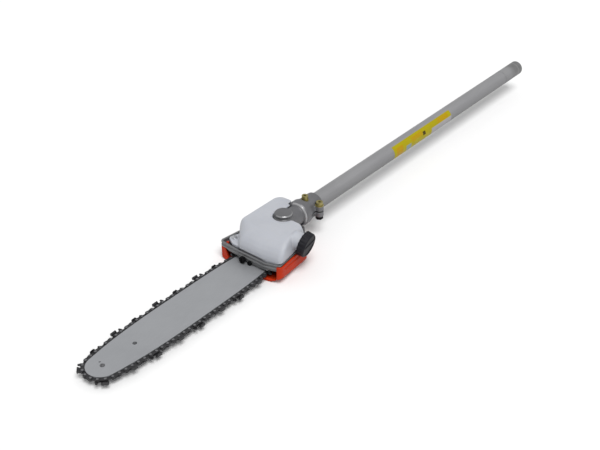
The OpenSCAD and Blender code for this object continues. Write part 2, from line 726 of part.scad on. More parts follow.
module on_neck(out) {
    translate(neck_at) rotate([90 + neck_tilt, 0, neck_turn]) translate([0, 0, out]) children();
}

module oil_cap() {
    color([0.09, 0.09, 0.1]) place() on_neck(0) difference() {
        union() {
            cylinder(r1 = cap_r, r2 = cap_r - 0.8, h = cap_h - 1.6);
            translate([0, 0, cap_h - 1.6]) cylinder(r1 = cap_r - 0.8, r2 = cap_r - 2.2, h = 1.6);
        }
        translate([0, 0, cap_h - 1.2]) difference() {
            cylinder(r = cap_r - 3.6, h = 2);
            translate([-cap_r, -2.6, -1]) cube([2 * cap_r, 5.2, 4]);
        }
        translate([0, 0, -1]) cylinder(r = 13 + gap, h = neck_len + 2.6);
        for (a = [0:20:340]) rotate(a) translate([cap_r + 0.9, 0, -1]) cylinder(r = 2, h = cap_h + 2);
    }
}

module cap_gasket() {
    color([0.15, 0.15, 0.16]) place() on_neck(neck_len) tube(12.9, 9.8, 1.2);
}

module outlet_grommet() {
    color([0.13, 0.13, 0.14]) place() translate([20, 32, 12.6]) {
        tube(2.95, 1.95, 4);
        translate([0, 0, tank_base + tank_wall - 12.6]) tube(4.5, 1.95, 1.4);
    }
}

module oil_hose() {
    color([0.2, 0.2, 0.21]) place() translate([20, 32, 11]) {
        cylinder(r = 1.9, h = 10);
        translate([5, 0, 10]) rotate([90, 0, 0]) rotate([0, 0, 90]) rotate_extrude(angle = 90)
            translate([5, 0]) circle(r = 1.9);
        translate([5, 0, 15]) rotate([0, 90, 0]) cylinder(r = 1.9, h = 22);
    }
}

module oil_filter() {
    color([0.82, 0.82, 0.8]) place() along_x(46, 32, 26) difference() {
        cylinder(r = 4.4, h = 13);
        translate([0, 0, -1]) cylinder(r = 1.95, h = 4);
        for (z = [4:2.2:11]) translate([0, 0, z]) tube(6, 3.9, 1);
    }
}

module tank_vent() {
    color([0.13, 0.13, 0.14]) place() along_x(90.6, 31, 34) {
        cylinder(r = 3, h = 3.6);
        translate([0, 0, 3.6]) cylinder(r1 = 3, r2 = 1.4, h = 2.4);
    }
}

// Pole

lock_hole_r = 3.1;
button_hole_r = 4;
button_x = pole_end_x - 20;

module pole_tube() {
    color([0.63, 0.64, 0.66]) place() difference() {
        along_x(pole_start, 0, pole_z) tube(pole_r, pole_r - pole_wall, pole_end_x - pole_start);
        translate([lock_x, 0, pole_z]) cylinder(r = lock_hole_r, h = 20);
        translate([button_x, 0, pole_z - 20]) cylinder(r = button_hole_r, h = 20);
        along_x(pole_end_x - 61.2, 0, pole_z) tube(pole_r + 1, pole_r - 0.3, 1.2);
    }
}

module pole_label() {
    color([0.95, 0.8, 0.12]) place() translate([315, 0, pole_z]) rotate([90, 0, 90]) rotate([0, 0, 114])
        rotate_extrude(angle = 112) translate([pole_r, 0]) square([0.12, 172]);
}

module shaft_bushes() {
    color([0.15, 0.16, 0.18]) place() for (i = [0:bush_count - 1])
        along_x(pole_start + 60 + i * (pole_end_x - pole_start - 120) / (bush_count - 1), 0, pole_z)
            difference() {
                tube(pole_r - pole_wall, shaft_r + fit, 22);
                for (a = [0:120:240]) rotate(a) translate([shaft_r + 4.6, 0, -1]) cylinder(r = 1.6, h = 24);
            }
}

module locating_screw() {
    color([0.78, 0.68, 0.36]) place() translate([lock_x, 0, 0]) difference() {
        union() {
            translate([0, 0, pole_z + 9]) cylinder(r = 3, h = lock_z - pole_z - 8);
            translate([0, 0, lock_z]) cylinder(r = 5.6, h = 1.2);
            translate([0, 0, lock_z + 1.2]) cylinder(r = 4.7, h = 6.6);
        }
        translate([0, 0, lock_z + 4.4]) hexagon(4, 4);
    }
}

module clamp_bolt() {
    color([0.78, 0.68, 0.36]) place() translate([ear_x, ear_y, 0]) difference() {
        union() {
            translate([0, 0, pole_z - 14]) cylinder(r = 3, h = 23);
            translate([0, 0, pole_z + 8.5]) cylinder(r = 6.4, h = 1.2);
            translate([0, 0, pole_z + 9.7]) cylinder(r = 5, h = 4.8);
        }
        translate([0, 0, pole_z + 11.5]) hexagon(4, 4);
    }
}

module clamp_nut() {
    color([0.78, 0.68, 0.36]) place() translate([ear_x, ear_y, pole_z - 13.6]) difference() {
        hexagon(10, 5);
        translate([0, 0, -1]) cylinder(r = 3, h = 8);
    }
}

// Guide bar: two outer plates on a core that leaves the chain's groove, with a star in the nose

star_r = (nose_r + rivet_rise) * cos(180 / (2 * star_teeth)) - 7.4;
race_r = 6;
nose_pin_r = 2.4;
groove_depth = 5.4;
bar_hole_x = -245.7;     // hole to hang the bar by
adjust_x = (block_x[0] + block_x[1]) / 2;

module bar_holes() {
    hull_free_slot(stud_x[0] - slack_travel - 1.2, stud_x[1] + 1, 4.2);
    for (y = [-tension_y, tension_y]) translate([adjust_x, y, -5]) cylinder(r = 2.7, h = 10);
    translate([bar_hole_x, 0, -5]) cylinder(r = 3, h = 10);
}

module hull_free_slot(x0, x1, r) {
    for (x = [x0, x1]) translate([x, 0, -5]) cylinder(r = r, h = 10);
    box([x0, -r, -5], [x1, r, 5]);
}

module bar_sheet(z, t, inset) {
    difference() {
        translate([0, 0, z]) linear_extrude(t) polygon(bar_outline(inset));
        bar_holes();
    }
}

module nose_pins(r) {
    translate([nose_x, 0, -5]) cylinder(r = r, h = 10);
}

module bar_upper_plate() {
    color([0.6, 0.61, 0.63]) place() difference() {
        bar_sheet(groove_w / 2, (bar_t - groove_w) / 2, 0);
        nose_pins(nose_pin_r);
        translate([nose_x + 2.4, 7.5, -5]) cylinder(r = 1.4, h = 10);
    }
}

module bar_lower_plate() {
    color([0.6, 0.61, 0.63]) place() difference() {
        bar_sheet(-bar_t / 2, (bar_t - groove_w) / 2, 0);
        nose_pins(nose_pin_r);
        translate([nose_x + 2.4, 7.5, -5]) cylinder(r = 1.4, h = 10);
    }
}

module bar_core() {
    color([0.5, 0.51, 0.53]) place() difference() {
        bar_sheet(-groove_w / 2, groove_w, groove_depth);
        translate([nose_x, 0, -5]) cylinder(r = star_r + 0.8, h = 10);
        box([nose_x - 40, -30, -5], [nose_x, 30, 5]);
    }
}

module nose_race() {
    color([0.45, 0.46, 0.48]) place() difference() {
        translate([nose_x, 0, -groove_w / 2]) cylinder(r = race_r, h = groove_w);
        nose_pins(nose_pin_r);
    }
}

module nose_rivets() {
    color([0.4, 0.41, 0.43]) place() translate([nose_x, 0, 0]) {
        translate([0, 0, -bar_t / 2]) cylinder(r = nose_pin_r, h = bar_t);
        for (side = [-1, 1]) scale([1, 1, side]) translate([0, 0, bar_t / 2]) difference() {
            cylinder(r = 3.2, h = 0.5);
            translate([0, 0, 0.2]) cylinder(r = 1.6, h = 1);
        }
    }
}

module nose_star() {
    color([0.4, 0.41, 0.43]) place() translate([nose_x, 0, -0.6]) linear_extrude(1.2) difference() {
        polygon([for (i = [0:star_teeth - 1]) let (a = (i + 0.5) * 360 / star_teeth)
            each [12.4 * turn(a - 14), star_r * turn(a - 4.5), star_r * turn(a + 4.5), 12.4 * turn(a + 14)]]);
        circle(r = race_r + fit);
    }
}

// Saw chain

module on_link(k) {
    let (a = rivet(k), b = rivet(k + 1), d = b - a)
        translate([(a.x + b.x) / 2, (a.y + b.y) / 2, 0]) rotate(atan2(d.y, d.x)) children();
}

link_half = pitch / 2;
rivet_r = 1.25;
side_z = drive_link_t / 2 + fit;

module rivet_holes() {
    for (x = [-link_half, link_half]) translate([x, 0]) circle(r = rivet_r + 0.1);
}

module drive_link() {
    translate([0, 0, -drive_link_t / 2]) linear_extrude(drive_link_t) difference() {
        union() {
            for (x = [-link_half, link_half]) translate([x, 0]) circle(r = 2.9);
            polygon([[-link_half, 2.4], [-link_half, -2.9], [-3.2, -3.2], [-1.8, -6.4], [-0.4, -7.1],
                [1.2, -6.9], [3, -4.6], [4.4, -2.9], [link_half, -2.9], [link_half, 2.4], [0, 1.6]]);
        }
        rivet_holes();
    }
}

module strap_shape() {
    difference() {
        union() {
            for (x = [-link_half, link_half]) translate([x, 0]) circle(r = 2.7);
            polygon([[-link_half, -2.7], [link_half, -2.7], [link_half + 2.3, 1.4], [link_half + 1.2, 2.9],
                [link_half - 1.6, 2.9], [0, 2.1], [1.6 - link_half, 2.9], [-1.2 - link_half, 2.9],
                [-2.3 - link_half, 1.4]]);
        }
        rivet_holes();
    }
}

module strap(side) {
    translate([0, 0, side > 0 ? side_z : -side_z - side_link_t]) linear_extrude(side_link_t) strap_shape();
}

// Cutter for the +Z side: side plate with a depth gauge, a flared wall and a slanted top plate
module cutter() {
    translate([0, 0, side_z]) linear_extrude(side_link_t) difference() {
        union() {
            strap_shape();
            polygon([[-7.4, -1.4], [-6, -2.7], [6, -2.7], [8, -0.8], [8.5, 2.4], [7.4, 5.8], [6.3, 6.4],
                [5, 5.9], [3.9, 2.8], [2, 1.5], [0.6, 2.4], [-0.2, 4.6], [-8.8, 4.2], [-9.2, 2.8]]);
        }
        rivet_holes();
    }
    translate([0, 0, side_z + 0.4]) linear_extrude(kerf_half - side_z - 0.4)
        polygon([[-9.1, 3.4], [-0.1, 3.6], [0.5, 6.6], [-8.7, 6.1]]);
    translate([0, 5.4, 0]) rotate([-90, 0, 0]) linear_extrude(1.2)
        polygon([[-8.7, -kerf_half], [0.5, -kerf_half], [-1.6, 0.9], [-8.2, 0.9]]);
}

module drive_link_set() {
    color([0.36, 0.36, 0.37]) place() for (i = [0:drive_links - 1]) on_link(2 * i) drive_link();
}

module tie_strap_set() {
    color([0.33, 0.33, 0.34]) place() for (i = [0:drive_links - 1]) on_link(2 * i + 1) {
        if (i % 4 != 0) strap(1);
        if (i % 4 != 2) strap(-1);
    }
}

module right_cutters() {
    color([0.42, 0.42, 0.43]) place() for (i = [0:4:drive_links - 1]) on_link(2 * i + 1) cutter();
}

module left_cutters() {
    color([0.42, 0.42, 0.43]) place() for (i = [2:4:drive_links - 1]) on_link(2 * i + 1)
        mirror([0, 0, 1]) cutter();
}

module chain_rivets() {
    color([0.55, 0.55, 0.56]) place() for (k = [0:rivets - 1]) let (p = rivet(k)) translate([p.x, p.y, 0]) {
        translate([0, 0, -2.2]) cylinder(r = rivet_r, h = 4.4);
        translate([0, 0, side_z + side_link_t]) cylinder(r = 1.7, h = 0.45);
        translate([0, 0, -side_z - side_link_t - 0.45]) cylinder(r = 1.7, h = 0.45);
    }
}

// Chain tensioner and oil flow screw

module tension_screw() {
    color([0.08, 0.08, 0.09]) place() along_x(-28.3, tension_y, tension_z) {
        translate([0, 0, -1]) cylinder(r = 2.5, h = 29.3 + channel_x[1] + 2.5);
        translate([0, 0, -4.5]) difference() {
            cylinder(r = 5, h = 4.4);
            for (a = [0:45:315]) rotate(a) translate([5.6, 0, -1]) cylinder(r = 1.2, h = 7);
            translate([-4, -0.6, -1]) cube([8, 1.2, 2.2]);
        }
    }
}

module tension_block() {
    color([0.5, 0.5, 0.52]) place() difference() {
        union() {
            box([block_x[0], tension_y - 4, 4.8], [block_x[1], tension_y + 4, 11.8]);
            translate([adjust_x, tension_y, -1.6]) cylinder(r = 2.6, h = 7);
        }
        along_x(block_x[0] - 1, tension_y, tension_z) cylinder(r = 2.5 + fit, h = 20);
    }
}

module oil_flow_screw() {
    color([0.16, 0.1, 0.1]) place() along_x(-26.8, flow_y, flow_z) {
        translate([0, 0, -1]) cylinder(r = 2, h = 12);
        translate([0, 0, -2.6]) difference() {
            cylinder(r = 3.3, h = 2.5);
            translate([-4, -0.5, -1]) cube([8, 1, 2]);
        }
    }
}

gear_case();
base_plate();
sprocket_cover();
cover_nuts();
bar_studs();
case_screws();
tank_screws();
oil_tank();
oil_cap();
cap_gasket();
oil_hose();
oil_filter();
outlet_grommet();
tank_vent();
pole_tube();
pole_label();
shaft_bushes();
locating_screw();
clamp_bolt();
clamp_nut();
drive_shaft();
pinion_gear();
pinion_inner_rings();
pinion_circlip();
bearing_outer_rings();
bearing_balls();
output_gear();
output_shaft();
output_inner_rings();
shaft_seal();
chain_sprocket();
sprocket_washer();
sprocket_clip();
pump_worm();
pump_plunger();
pump_body();
bar_upper_plate();
bar_lower_plate();
bar_core();
nose_star();
nose_race();
nose_rivets();
drive_link_set();
tie_strap_set();
right_cutters();
left_cutters();
chain_rivets();
tension_screw();
tension_block();
oil_flow_screw();
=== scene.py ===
import bpy, bmesh, json, math
from mathutils import Matrix, Vector

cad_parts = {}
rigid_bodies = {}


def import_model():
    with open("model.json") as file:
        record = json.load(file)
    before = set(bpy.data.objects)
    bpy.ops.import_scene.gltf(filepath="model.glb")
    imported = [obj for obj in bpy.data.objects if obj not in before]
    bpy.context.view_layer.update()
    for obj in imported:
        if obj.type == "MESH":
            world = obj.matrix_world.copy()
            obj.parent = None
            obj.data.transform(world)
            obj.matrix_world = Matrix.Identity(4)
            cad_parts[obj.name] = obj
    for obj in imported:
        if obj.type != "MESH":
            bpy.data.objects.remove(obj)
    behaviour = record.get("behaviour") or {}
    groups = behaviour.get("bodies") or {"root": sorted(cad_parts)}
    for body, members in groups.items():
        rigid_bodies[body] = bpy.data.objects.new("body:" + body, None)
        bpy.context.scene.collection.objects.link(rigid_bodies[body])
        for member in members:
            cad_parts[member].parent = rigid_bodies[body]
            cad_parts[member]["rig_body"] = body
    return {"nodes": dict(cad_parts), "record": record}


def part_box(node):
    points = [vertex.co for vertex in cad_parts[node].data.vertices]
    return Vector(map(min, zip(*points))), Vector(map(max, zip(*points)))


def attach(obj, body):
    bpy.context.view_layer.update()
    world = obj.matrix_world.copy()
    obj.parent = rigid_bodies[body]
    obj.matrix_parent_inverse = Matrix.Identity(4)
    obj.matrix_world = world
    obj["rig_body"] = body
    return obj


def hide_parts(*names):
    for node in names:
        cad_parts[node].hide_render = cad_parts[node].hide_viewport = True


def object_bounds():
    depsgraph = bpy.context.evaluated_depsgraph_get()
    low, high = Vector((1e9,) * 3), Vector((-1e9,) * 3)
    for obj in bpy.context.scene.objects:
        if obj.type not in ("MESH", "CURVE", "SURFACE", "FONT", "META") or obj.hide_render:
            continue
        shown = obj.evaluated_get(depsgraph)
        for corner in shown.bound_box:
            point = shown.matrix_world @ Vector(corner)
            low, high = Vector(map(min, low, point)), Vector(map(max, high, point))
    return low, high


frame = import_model()
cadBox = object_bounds()
nodes = frame["nodes"]
scene = bpy.context.scene
scene.view_settings.view_transform = "Standard"


# Head measures are in millimetres from the middle of the guide bar, along the bar, across it and up
def at(x, y, z):
    return Vector((x - 740, y, z - 32.2)) * 0.001


# ---- studio

studio = {
    "eye": (-873.7, -770.6, 816.2),     # in head measures
    "turn": -51.285,            # which way the camera faces, in degrees from +Y
    "tilt": 33.196,             # how far it looks down
    "lens": 59.855,
    "sensor": 36,
    "floorGap": 0.0003,         # under the object, in metres
    "floorSize": 40,
    "floorMiddle": -0.6,        # along the pole
    "floorTone": (0.80, 0.80, 0.80),
    "sky": 0.62,
    "keyFrom": (-0.26, -0.42, 1.0),
    "keyPower": 2.5,
    "keySoftness": 32.0,
}


def setUpStudio():
    turn, tilt = math.radians(studio["turn"]), math.radians(studio["tilt"])
    ahead = Vector((-math.sin(turn) * math.cos(tilt), math.cos(turn) * math.cos(tilt), -math.sin(tilt)))
    right = Vector((math.cos(turn), math.sin(turn), 0))
    pose = Matrix((right, right.cross(ahead), -ahead)).transposed().to_4x4()
    pose.translation = at(*studio["eye"])
    camera = bpy.data.objects.new("camera", bpy.data.cameras.new("camera"))
    camera.data.lens, camera.data.sensor_width = studio["lens"], studio["sensor"]
    camera.data.clip_start = 0.01
    camera.matrix_world = pose
    scene.collection.objects.link(camera)
    scene.camera = camera

    world = bpy.data.worlds.new("studio")
    world.use_nodes = True
    world.node_tree.nodes["Background"].inputs[0].default_value = (1, 1, 1, 1)
    world.node_tree.nodes["Background"].inputs[1].default_value = studio["sky"]
    scene.world = world

    key = bpy.data.objects.new("keyLight", bpy.data.lights.new("keyLight", "SUN"))
    key.data.energy, key.data.angle = studio["keyPower"], math.radians(studio["keySoftness"])
    key.rotation_euler = Vector(studio["keyFrom"]).to_track_quat("Z", "Y").to_euler()
    scene.collection.objects.link(key)


setUpStudio()
print("stage: studio")


# ---- finishes

def startMaterial(name):
    mat = bpy.data.materials.new(name)
    mat.use_nodes = True
    shader = mat.node_tree.nodes["Principled BSDF"]
    return mat, mat.node_tree, shader


def addNode(tree, kind, **values):
    node = tree.nodes.new(kind)
    for key, value in values.items():
        setattr(node, key, value)
    return node


def objectPoints(tree, stretch=(1, 1, 1)):
    coords = addNode(tree, "ShaderNodeTexCoord")
    mapping = addNode(tree, "ShaderNodeMapping")
    mapping.inputs["Scale"].default_value = stretch
    tree.links.new(coords.outputs["Object"], mapping.inputs["Vector"])
    return mapping.outputs["Vector"]


def noiseOn(tree, points, scale, detail=4, roughness=0.55):
    noise = addNode(tree, "ShaderNodeTexNoise")
    noise.inputs["Scale"].default_value = scale
    noise.inputs["Detail"].default_value = detail
    noise.inputs["Roughness"].default_value = roughness
    tree.links.new(points, noise.inputs["Vector"])
    return noise.outputs["Fac"]


def spread(tree, value, low, high, fromLow=0.3, fromHigh=0.7):
    ramp = addNode(tree, "ShaderNodeMapRange")
    for socket, number in zip(("From Min", "From Max", "To Min", "To Max"), (fromLow, fromHigh, low, high)):
        ramp.inputs[socket].default_value = number
    tree.links.new(value, ramp.inputs["Value"])
    return ramp.outputs["Result"]


def blendColours(tree, amount, first, second):
    mix = addNode(tree, "ShaderNodeMix", data_type="RGBA")
    for slot, colour in ((6, first), (7, second)):
        if isinstance(colour, tuple):
            mix.inputs[slot].default_value = (*colour, 1)
        else:
            tree.links.new(colour, mix.inputs[slot])
    tree.links.new(amount, mix.inputs[0])
    return mix.outputs[2]


def calculate(tree, operation, *values):
    node = addNode(tree, "ShaderNodeMath", operation=operation)
    for socket, value in zip(node.inputs, values):
        if isinstance(value, (int, float)):
            socket.default_value = value
        else:
            tree.links.new(value, socket)
    return node.outputs[0]


def within(tree, value, low, high):
    return calculate(tree, "COMPARE", value, (low + high) / 2, (high - low) / 2)


def axesOf(tree, points):
    axes = addNode(tree, "ShaderNodeSeparateXYZ")
    tree.links.new(points, axes.inputs[0])
    return axes.outputs


# One inside a box given by two corners in head measures, and nought outside it
def insideBox(tree, points, low, high):
    axes, low, high = axesOf(tree, points), at(*low), at(*high)
    inside = within(tree, axes[0], low.x, high.x)
    for i in (1, 2):
        inside = calculate(tree, "MULTIPLY", inside, within(tree, axes[i], low[i], high[i]))
    return inside


def addBumps(tree, shader, layers):
    previous = None
    for height, strength, distance in layers:
        bump = addNode(tree, "ShaderNodeBump")
        bump.inputs["Strength"].default_value = strength
        bump.inputs["Distance"].default_value = distance
        tree.links.new(height, bump.inputs["Height"])
        if previous:
            tree.links.new(previous, bump.inputs["Normal"])
        previous = bump.outputs["Normal"]
    tree.links.new(previous, shader.inputs["Normal"])


metalDetail = {
    "grainMix": 0.35, "grainLight": 1.25, "grainBump": 0.5,
    "scratchStretch": (12, 260, 260), "scratchScale": 6, "scratchEdge": (0.62, 0.72), "scratchLight": 1.5,
    "scratchBump": 0.25, "scratchDepth": 0.00002,
    "roughSpread": 0.15, "bandScale": 90, "bandCover": (0.65, 1.0),
}


# Metal with a directional grain, slow tone changes and fine scratches. Painted shade bands go round a tube from x
# to x with a soft edge, and painted shade darkens the underside, fading in between two heights.
def metalFinish(name, dark, light, metal, rough, grainScale, grainDepth, patchScale, grain=(1, 1, 1),
                scratch=0.0, coat=0.0, paintedShadeBands=(), paintedUndersideShade=()):
    mat, tree, shader = startMaterial(name)
    detail = metalDetail
    plain = objectPoints(tree)
    fine = noiseOn(tree, objectPoints(tree, grain), grainScale, 3)
    patches = noiseOn(tree, plain, patchScale, 3)
    tone = blendColours(tree, spread(tree, patches, 0, 1), dark, light)
    shiny = tuple(min(1, c * detail["grainLight"]) for c in light)
    tone = blendColours(tree, spread(tree, fine, 0, detail["grainMix"]), tone, shiny)
    bumps = [(fine, detail["grainBump"], grainDepth)]
    if scratch:
        lines = noiseOn(tree, objectPoints(tree, detail["scratchStretch"]), detail["scratchScale"], 6, 0.7)
        marks = spread(tree, lines, 0, scratch, *detail["scratchEdge"])
        tone = blendColours(tree, marks, tone, tuple(min(1, c * detail["scratchLight"]) for c in light))
        bumps.append((marks, detail["scratchBump"], detail["scratchDepth"]))
    # Painted shade: the tone darkens towards the bottom, between two heights
    if paintedUndersideShade:
        low, high, paintedShadeLeft = paintedUndersideShade
        height = spread(tree, axesOf(tree, plain)[2], 0, 1, at(0, 0, low).z, at(0, 0, high).z)
        tone = blendColours(tree, height, tuple(c * paintedShadeLeft for c in dark), tone)
    # Painted shade: patchy dark bands round the tube
    for start, end, shade, soft in paintedShadeBands:
        along = axesOf(tree, plain)[0]
        rise = spread(tree, along, 0, 1, at(start - soft, 0, 0).x, at(start, 0, 0).x)
        fall = spread(tree, along, 1, 0, at(end, 0, 0).x, at(end + soft, 0, 0).x)
        band = calculate(tree, "MULTIPLY", rise, fall)
        patchy = spread(tree, noiseOn(tree, plain, detail["bandScale"], 4), *detail["bandCover"])
        tone = blendColours(tree, calculate(tree, "MULTIPLY", band, patchy), tone, (shade, shade, shade))
    tree.links.new(tone, shader.inputs["Base Color"])
    shader.inputs["Metallic"].default_value = metal
    least, most = rough * (1 - detail["roughSpread"]), rough * (1 + detail["roughSpread"])
    tree.links.new(spread(tree, fine, least, most), shader.inputs["Roughness"])
    shader.inputs["Coat Weight"].default_value = coat
    addBumps(tree, shader, bumps)
    return mat


skinDetail = {
    "mottleScale": 35, "grainBump": 0.45,
    "edges": (0.53, 0.60), "wearScale": 260, "wearEdge": (0.42, 0.62),
    "roughSpread": 0.12, "paintedHighlightPolish": 0.4, "paintedHighlightBlue": 1.02,
    "flowScale": 22, "flowDepth": 0.0006,
}


# Moulded or cast skin with grain, faint mottling, brighter worn edges and painted highlights in given boxes,
# which are also made smoother
def skinFinish(name, base, rough, grainScale, grainDepth, mottle, metal=0.0, wear=0.0, wearTone=None, flow=0.0,
               shine=0.5, paintedHighlights=()):
    mat, tree, shader = startMaterial(name)
    detail = skinDetail
    plain = objectPoints(tree)
    grain = noiseOn(tree, plain, grainScale, 2)
    slow = noiseOn(tree, plain, detail["mottleScale"], 4)
    deep = tuple(c * (1 - mottle) for c in base)
    high = tuple(min(1, c * (1 + mottle)) for c in base)
    tone = blendColours(tree, spread(tree, slow, 0, 1), deep, high)
    if wear:
        geometry = addNode(tree, "ShaderNodeNewGeometry")
        edge = spread(tree, geometry.outputs["Pointiness"], 0, 1, *detail["edges"])
        patchy = spread(tree, noiseOn(tree, plain, detail["wearScale"], 5, 0.7), 0, wear, *detail["wearEdge"])
        tone = blendColours(tree, calculate(tree, "MULTIPLY", edge, patchy), tone, wearTone)
    roughness = spread(tree, slow, rough * (1 - detail["roughSpread"]), rough * (1 + detail["roughSpread"]))
    # Painted highlights: each box is made lighter in colour and less rough
    for low, high, bright in paintedHighlights:
        highlightMask = insideBox(tree, plain, low, high)
        tone = blendColours(tree, highlightMask, tone, (bright, bright, bright * detail["paintedHighlightBlue"]))
        polish = calculate(tree, "MULTIPLY", highlightMask, rough * detail["paintedHighlightPolish"])
        roughness = calculate(tree, "SUBTRACT", roughness, polish)
    tree.links.new(tone, shader.inputs["Base Color"])
    shader.inputs["Metallic"].default_value = metal
    shader.inputs["Specular IOR Level"].default_value = shine
    tree.links.new(roughness, shader.inputs["Roughness"])
    bumps = [(grain, detail["grainBump"], grainDepth)]
    if flow:
        bumps.append((noiseOn(tree, plain, detail["flowScale"], 2), flow, detail["flowDepth"]))
    addBumps(tree, shader, bumps)
    return mat


# Milky plastic of the blown oil tank
tankLook = {
    "deep": (0.365, 0.378, 0.413), "high": (0.405, 0.417, 0.45),
    "milkiness": 0.25, "reach": (0.9, 1.0, 1.2), "reachScale": 0.003,
    "shine": 0.35, "smooth": 0.44, "rough": 0.56,
    "grain": (1300, 0.3, 0.00002),      # scale, strength and depth
    "waves": (40, 0.25, 0.0005),
}


def tankFinish():
    mat, tree, shader = startMaterial("tankPlastic")
    plain = objectPoints(tree)
    cloud = spread(tree, noiseOn(tree, plain, 26, 4, 0.5), 0, 1)
    tree.links.new(blendColours(tree, cloud, tankLook["deep"], tankLook["high"]), shader.inputs["Base Color"])
    shader.inputs["Subsurface Weight"].default_value = tankLook["milkiness"]
    shader.inputs["Subsurface Radius"].default_value = tankLook["reach"]
    shader.inputs["Subsurface Scale"].default_value = tankLook["reachScale"]
    shader.inputs["Specular IOR Level"].default_value = tankLook["shine"]
    roughness = spread(tree, noiseOn(tree, plain, 60, 3), tankLook["smooth"], tankLook["rough"])
    tree.links.new(roughness, shader.inputs["Roughness"])
    addBumps(tree, shader, [(noiseOn(tree, plain, scale, 2), strength, depth)
                            for scale, strength, depth in (tankLook["grain"], tankLook["waves"])])
    return mat


# Vinyl strip on the pole: a yellow field with plain printed blocks, and a pale field low down at its far end
label = {
    "yellow": (0.33, 0.277, 0.001), "faded": (0.295, 0.245, 0.002),
    "shine": 0.12, "smooth": 0.38, "rough": 0.5, "grain": (500, 0.2, 0.00002),
    "blocks": [                         # along the pole from and to, round it from and to, colour
        (425, 490, -60, 19, (0.29, 0.28, 0.285)),
        (366, 398, 16, 50, (0.35, 0.225, 0.001)),
        (322, 340, -34, 42, (0.36, 0.215, 0.001)),
        (446, 478, 22, 60, (0.35, 0.225, 0.001)),
        (349, 363, -30, 14, (0.19, 0.25, 0.26)),
        (399, 406.5, 8, 36, (0.05, 0.035, 0.003)),
    ],
}


def labelFinish():
    mat, tree, shader = startMaterial("labelVinyl")
    points = objectPoints(tree)
    axes = axesOf(tree, points)
    turn = calculate(tree, "ARCTAN2", axes[2], calculate(tree, "MULTIPLY", axes[1], -1.0))
    fading = noiseOn(tree, points, 60, 4)
    tone = blendColours(tree, spread(tree, fading, 0, 1), label["yellow"], label["faded"])
    for start, end, low, high, colour in label["blocks"]:
        along = within(tree, axes[0], at(start, 0, 0).x, at(end, 0, 0).x)
        block = calculate(tree, "MULTIPLY", along, within(tree, turn, math.radians(low), math.radians(high)))
        tone = blendColours(tree, block, tone, colour)
    tree.links.new(tone, shader.inputs["Base Color"])
    shader.inputs["Specular IOR Level"].default_value = label["shine"]
    tree.links.new(spread(tree, fading, label["smooth"], label["rough"]), shader.inputs["Roughness"])
    scale, strength, depth = label["grain"]
    addBumps(tree, shader, [(noiseOn(tree, points, scale, 2), strength, depth)])
    return mat


# One set of values for each finish, named as the record's slots are
skins = {
    "cast_grey": {
        "name": "castGrey", "base": (0.130, 0.130, 0.137), "rough": 0.42, "metal": 0.35, "mottle": 0.1,
        "grainScale": 1300, "grainDepth": 0.00006, "wear": 0.75, "wearTone": (0.42, 0.42, 0.43), "flow": 0.15,
        "paintedHighlights": [                   # painted highlights on the flare's bevel and on the dome's rim: lowest corner, highest corner, tone
            ((79.4, -30, 25), (81.6, 8, 60), 0.33),
            ((30, -30, 49.9), (60, 3, 51.2), 0.24),
        ],
    },
    "cast_light": {
        "name": "castPlate", "base": (0.155, 0.157, 0.162), "rough": 0.42, "metal": 0.45, "mottle": 0.12,
        "grainScale": 1300, "grainDepth": 0.00006, "wear": 0.8, "wearTone": (0.45, 0.45, 0.46), "flow": 0.1,
    },
    "orange_plastic": {
        "name": "orangePlastic", "base": (0.40, 0.024, 0.003), "rough": 0.46, "shine": 0.14, "mottle": 0.1,
        "grainScale": 1700, "grainDepth": 0.00003, "wear": 0.3, "wearTone": (0.52, 0.06, 0.02), "flow": 0.12,
    },
    "black_plastic": {
        "name": "blackPlastic", "base": (0.009, 0.009, 0.012), "rough": 0.5, "shine": 0.16, "mottle": 0.18,
        "grainScale": 1500, "grainDepth": 0.00004, "wear": 0.3, "wearTone": (0.05, 0.05, 0.058),
    },
    "black_rubber": {
        "name": "blackRubber", "base": (0.02, 0.02, 0.021), "rough": 0.7, "mottle": 0.2,
        "grainScale": 1100, "grainDepth": 0.00005,
    },
    "black_steel": {
        "name": "blackSteel", "base": (0.003, 0.003, 0.0035), "rough": 0.5, "shine": 0.05, "mottle": 0.3,
        "grainScale": 800, "grainDepth": 0.00003, "wear": 0.25, "wearTone": (0.03, 0.03, 0.033),
    },
    "filter_felt": {
        "name": "filterFelt", "base": (0.62, 0.62, 0.6), "rough": 0.9, "mottle": 0.2,
        "grainScale": 900, "grainDepth": 0.0002,
    },
}

